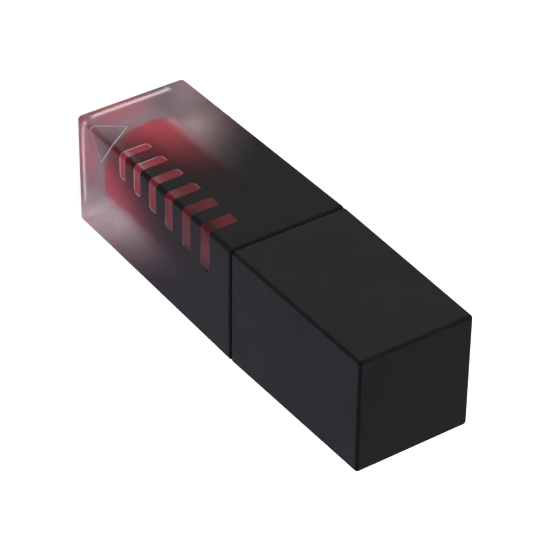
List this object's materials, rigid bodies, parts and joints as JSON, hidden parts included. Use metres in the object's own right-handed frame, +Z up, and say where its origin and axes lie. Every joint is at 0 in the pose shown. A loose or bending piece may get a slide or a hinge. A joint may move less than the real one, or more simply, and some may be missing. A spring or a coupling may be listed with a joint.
{
  "type": "lip tint tube",
  "caption": "Square lip tint tube: thick clear bottle under a black gradient coat, threaded square cap carrying a flocked applicator wand.",
  "frame": {"origin": "centre of the base the tube stands on", "axes": "+Z up the tube's axis from base to cap; the ornamented long edge is at -X -Y"},
  "size_m": [0.0202, 0.0202, 0.0734],
  "materials": {
    "bottle": "clear plastic under a matte coat that fades from black at the shoulder to frosted clear at the base",
    "tint": "red pigmented liquid",
    "wiper": "soft natural polyethylene",
    "gasket": "white foam",
    "seal_ring": "clear silicone",
    "cap_shell": "soft-touch matte black",
    "cap_insert": "moulded black",
    "stem": "moulded black",
    "applicator_core": "moulded white",
    "flocking": "short nylon flock stained with tint"
  },
  "bodies": {
    "bottle": {"bottle_body": "bottle", "tint_liquid": "tint", "neck_wiper": "wiper"},
    "gasket": {"neck_gasket": "gasket"},
    "seal_ring": {"wand_seal_ring": "seal_ring"},
    "cap_and_wand": {"cap_shell": "cap_shell", "cap_insert": "cap_insert", "wand_stem": "stem", "applicator_core": "applicator_core", "applicator_flocking": "flocking"}
  },
  "joints": [
    {"name": "cap_pull", "type": "slide", "parent": "bottle", "child": "gasket", "axis": [0, 0, 1], "range_m": [0, 0.055]},
    {"name": "cap_rise", "type": "slide", "parent": "gasket", "child": "seal_ring", "axis": [0, 0, 1], "range_m": [0, 0.00375]},
    {"name": "cap_turn", "type": "hinge", "parent": "seal_ring", "child": "cap_and_wand", "pos_m": [0, 0, 0.05], "axis": [0, 0, 1], "range_deg": [0, 450]}
  ],
  "couplings": [
    {"joint": "cap_turn", "follows": "cap_rise", "rad_per_m": 2094.4}
  ]
}
